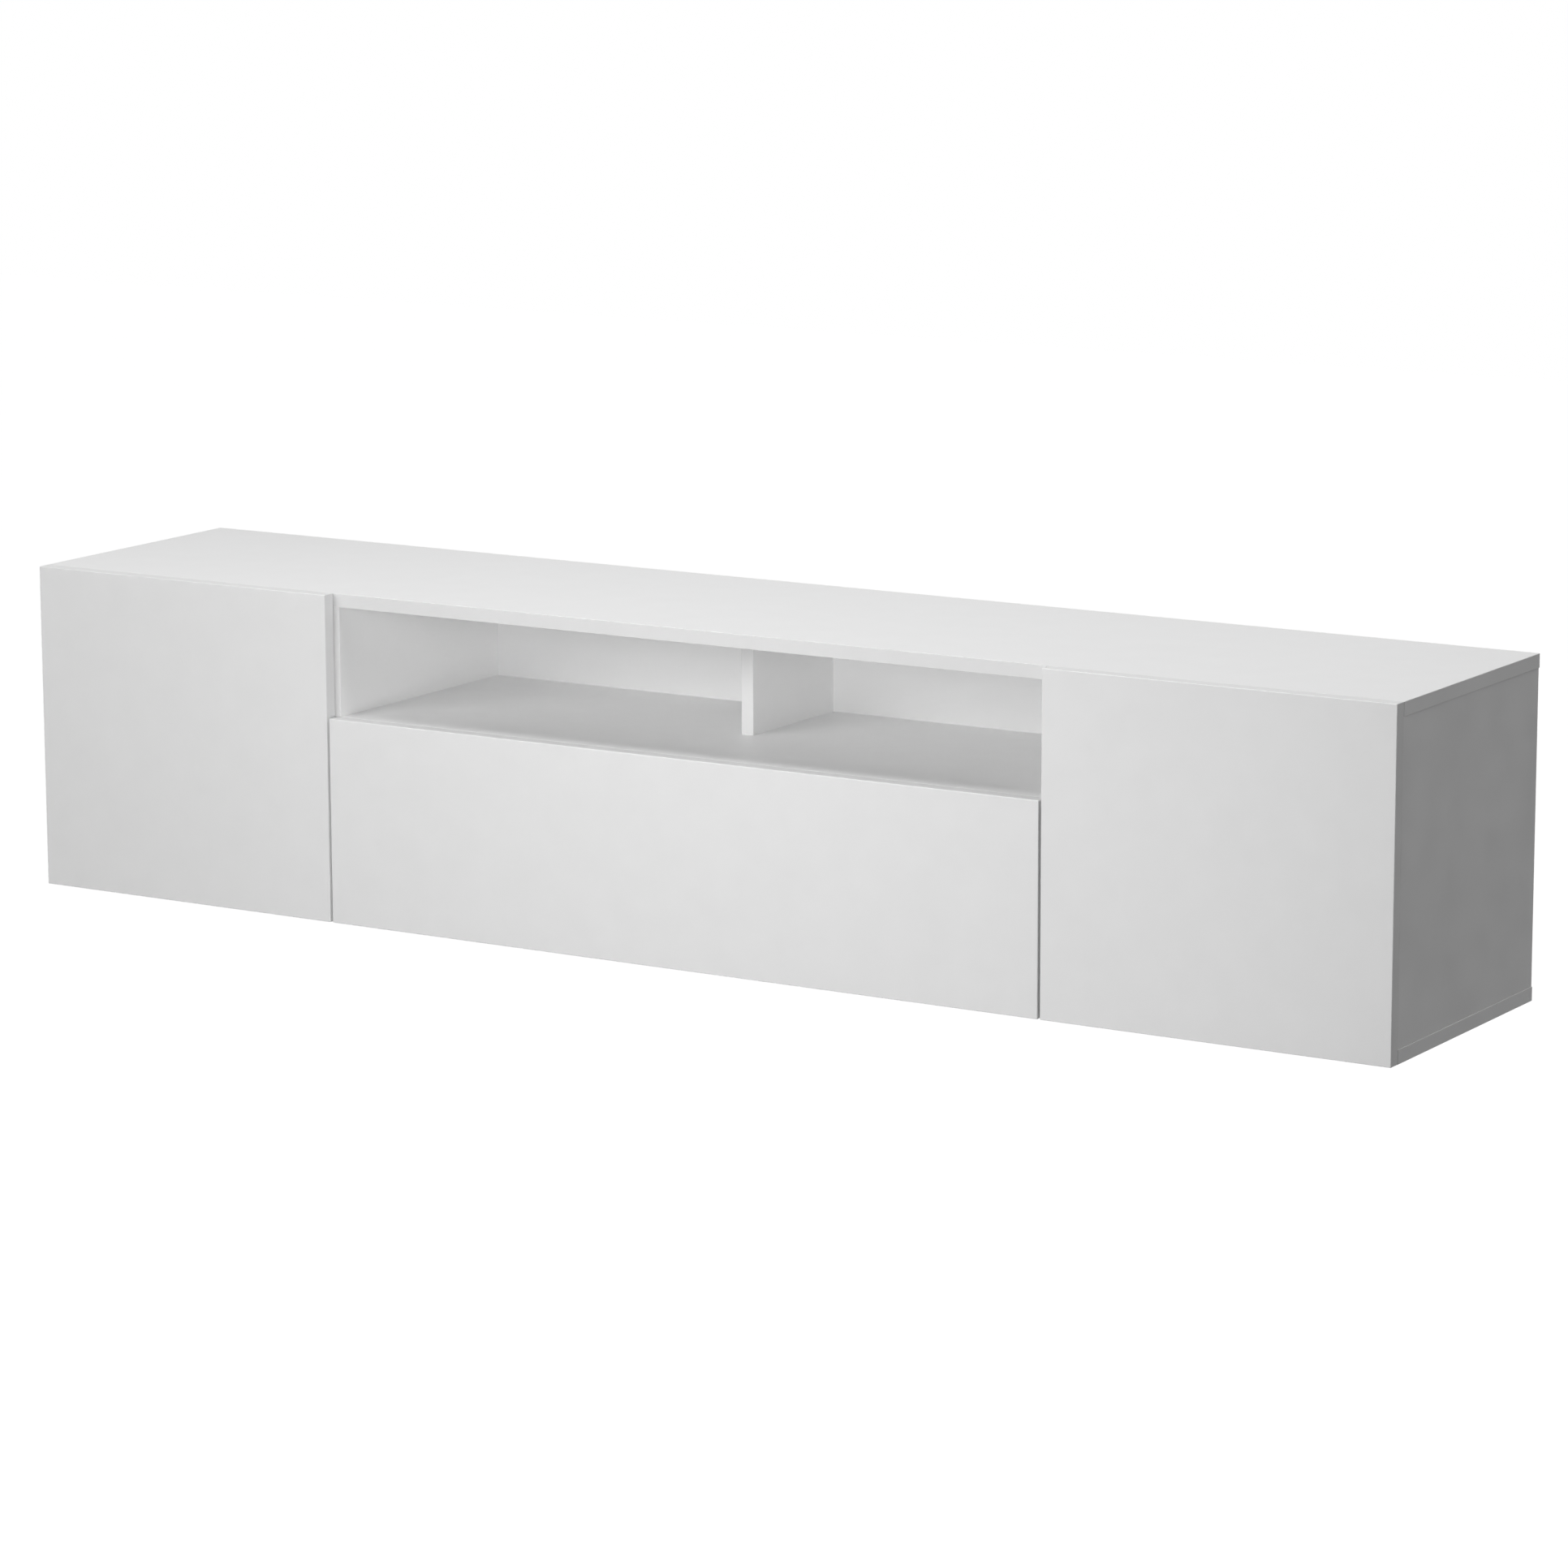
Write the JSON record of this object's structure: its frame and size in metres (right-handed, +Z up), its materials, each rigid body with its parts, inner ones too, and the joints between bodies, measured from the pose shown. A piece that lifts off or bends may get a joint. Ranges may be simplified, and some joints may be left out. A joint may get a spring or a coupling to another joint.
{
  "type": "wall-hung media console",
  "caption": "Low wall-hung cabinet with a side-hinged door at each end, a drop-down flap between them and an open compartment above the flap.",
  "frame": {"origin": "on the wall plane, at the middle of the wall rail's line of screw holes", "axes": "+X to the right as seen from the front, +Y into the wall, +Z up"},
  "size_m": [1.8, 0.3589, 0.39],
  "materials": {
    "white_board": "satin white laminate on particle board",
    "white_front": "satin white foil on fibreboard",
    "white_hardboard": "matt white painted hardboard",
    "beech": "bare beech",
    "zinc": "die-cast zinc",
    "galvanised_steel": "zinc plated steel",
    "nickel_steel": "nickel plated steel",
    "grey_plastic": "moulded plastic",
    "plunger_plastic": "moulded plastic"
  },
  "bodies": {
    "carcass": {"top_panel": "white_board", "bottom_panel": "white_board", "left_side_panel": "white_board", "right_side_panel": "white_board", "left_partition": "white_board", "right_partition": "white_board", "shelf": "white_board", "shelf_divider": "white_board", "back_panel": "white_hardboard", "left_adjustable_shelf": "white_board", "right_adjustable_shelf": "white_board", "shelf_pins": "zinc", "cam_bolts": "zinc", "cam_locks": "zinc", "dowels": "beech", "divider_screws": "galvanised_steel", "wall_rail": "galvanised_steel", "hanger_boxes": "grey_plastic", "hanger_hooks": "galvanised_steel", "hanger_adjusting_screws": "galvanised_steel", "small_screws": "galvanised_steel", "hinge_plate_screws": "nickel_steel", "hinge_adjusting_screws": "nickel_steel", "right_stay_guide": "nickel_steel", "left_stay_guide": "nickel_steel", "left_hinge_plates": "nickel_steel", "left_hinge_arms": "nickel_steel", "right_hinge_plates": "nickel_steel", "right_hinge_arms": "nickel_steel", "flap_hinge_plates": "nickel_steel", "flap_hinge_arms": "nickel_steel", "left_latch": "grey_plastic", "right_latch": "grey_plastic", "flap_latch": "grey_plastic"},
    "left_door": {"left_door": "white_front", "left_hinge_cups": "nickel_steel", "left_cup_screws": "nickel_steel", "left_strike_plate": "nickel_steel"},
    "left_inner_links": {"left_hinge_inner_links": "nickel_steel"},
    "left_outer_links": {"left_hinge_outer_links": "nickel_steel"},
    "left_plunger": {"left_latch_plunger": "plunger_plastic"},
    "right_door": {"right_door": "white_front", "right_hinge_cups": "nickel_steel", "right_cup_screws": "nickel_steel", "right_strike_plate": "nickel_steel"},
    "right_inner_links": {"right_hinge_inner_links": "nickel_steel"},
    "right_outer_links": {"right_hinge_outer_links": "nickel_steel"},
    "right_plunger": {"right_latch_plunger": "plunger_plastic"},
    "flap": {"flap": "white_front", "flap_hinge_cups": "nickel_steel", "flap_cup_screws": "nickel_steel", "flap_strike_plate": "nickel_steel", "left_stay_bracket": "nickel_steel", "right_stay_bracket": "nickel_steel", "stay_bracket_screws": "nickel_steel"},
    "flap_inner_links": {"flap_hinge_inner_links": "nickel_steel"},
    "flap_outer_links": {"flap_hinge_outer_links": "nickel_steel"},
    "flap_plunger": {"flap_latch_plunger": "plunger_plastic"},
    "left_stay": {"left_stay_arm": "nickel_steel"},
    "right_stay": {"right_stay_arm": "nickel_steel"}
  },
  "joints": [
    {"name": "left_inner_link_turn", "type": "hinge", "parent": "carcass", "child": "left_inner_links", "pos_m": [-0.8548, -0.3356, -0.139], "axis": [0, 0, 1], "range_deg": [0, 26.12]},
    {"name": "left_door_hinge", "type": "hinge", "parent": "left_inner_links", "child": "left_door", "pos_m": [-0.8884, -0.3445, -0.139], "axis": [0, 0, -1], "range_deg": [0, 121.12]},
    {"name": "left_outer_link_turn", "type": "hinge", "parent": "carcass", "child": "left_outer_links", "pos_m": [-0.8725, -0.3513, -0.139], "axis": [0, 0, 1], "range_deg": [0, 46.08]},
    {"name": "left_plunger_slide", "type": "slide", "parent": "carcass", "child": "left_plunger", "axis": [0, -1, 0], "range_m": [0, 0.01]},
    {"name": "right_inner_link_turn", "type": "hinge", "parent": "carcass", "child": "right_inner_links", "pos_m": [0.8548, -0.3356, -0.139], "axis": [0, 0, -1], "range_deg": [0, 26.12]},
    {"name": "right_door_hinge", "type": "hinge", "parent": "right_inner_links", "child": "right_door", "pos_m": [0.8884, -0.3445, -0.139], "axis": [0, 0, 1], "range_deg": [0, 121.12]},
    {"name": "right_outer_link_turn", "type": "hinge", "parent": "carcass", "child": "right_outer_links", "pos_m": [0.8725, -0.3513, -0.139], "axis": [0, 0, -1], "range_deg": [0, 46.08]},
    {"name": "right_plunger_slide", "type": "slide", "parent": "carcass", "child": "right_plunger", "axis": [0, -1, 0], "range_m": [0, 0.01]},
    {"name": "flap_inner_link_turn", "type": "hinge", "parent": "carcass", "child": "flap_inner_links", "pos_m": [0, -0.3356, -0.29], "axis": [-1, 0, 0], "range_deg": [0, 24.75]},
    {"name": "flap_hinge", "type": "hinge", "parent": "flap_inner_links", "child": "flap", "pos_m": [0, -0.3445, -0.3236], "axis": [1, 0, 0], "range_deg": [0, 114.75]},
    {"name": "flap_outer_link_turn", "type": "hinge", "parent": "carcass", "child": "flap_outer_links", "pos_m": [0, -0.3513, -0.3077], "axis": [-1, 0, 0], "range_deg": [0, 43.65]},
    {"name": "flap_plunger_slide", "type": "slide", "parent": "carcass", "child": "flap_plunger", "axis": [0, -1, 0], "range_m": [0, 0.01]},
    {"name": "left_stay_turn", "type": "hinge", "parent": "flap", "child": "left_stay", "pos_m": [-0.4657, -0.3288, -0.1765], "axis": [-1, 0, 0], "range_deg": [0, 48.69]},
    {"name": "right_stay_turn", "type": "hinge", "parent": "flap", "child": "right_stay", "pos_m": [0.4657, -0.3288, -0.1765], "axis": [-1, 0, 0], "range_deg": [0, 48.69]}
  ],
  "couplings": [
    {"joint": "left_inner_link_turn", "follows": "left_door_hinge", "ratio": 0.21569},
    {"joint": "left_outer_link_turn", "follows": "left_door_hinge", "ratio": 0.38039},
    {"joint": "left_plunger_slide", "follows": "left_door_hinge", "m_per_rad": 0.0047303},
    {"joint": "right_inner_link_turn", "follows": "right_door_hinge", "ratio": 0.21569},
    {"joint": "right_outer_link_turn", "follows": "right_door_hinge", "ratio": 0.38039},
    {"joint": "right_plunger_slide", "follows": "right_door_hinge", "m_per_rad": 0.0047303},
    {"joint": "flap_inner_link_turn", "follows": "flap_hinge", "ratio": 0.21569},
    {"joint": "flap_outer_link_turn", "follows": "flap_hinge", "ratio": 0.38039},
    {"joint": "flap_plunger_slide", "follows": "flap_hinge", "m_per_rad": 0.0049931},
    {"joint": "left_stay_turn", "follows": "flap_hinge", "ratio": 0.42431},
    {"joint": "right_stay_turn", "follows": "flap_hinge", "ratio": 0.42431}
  ]
}
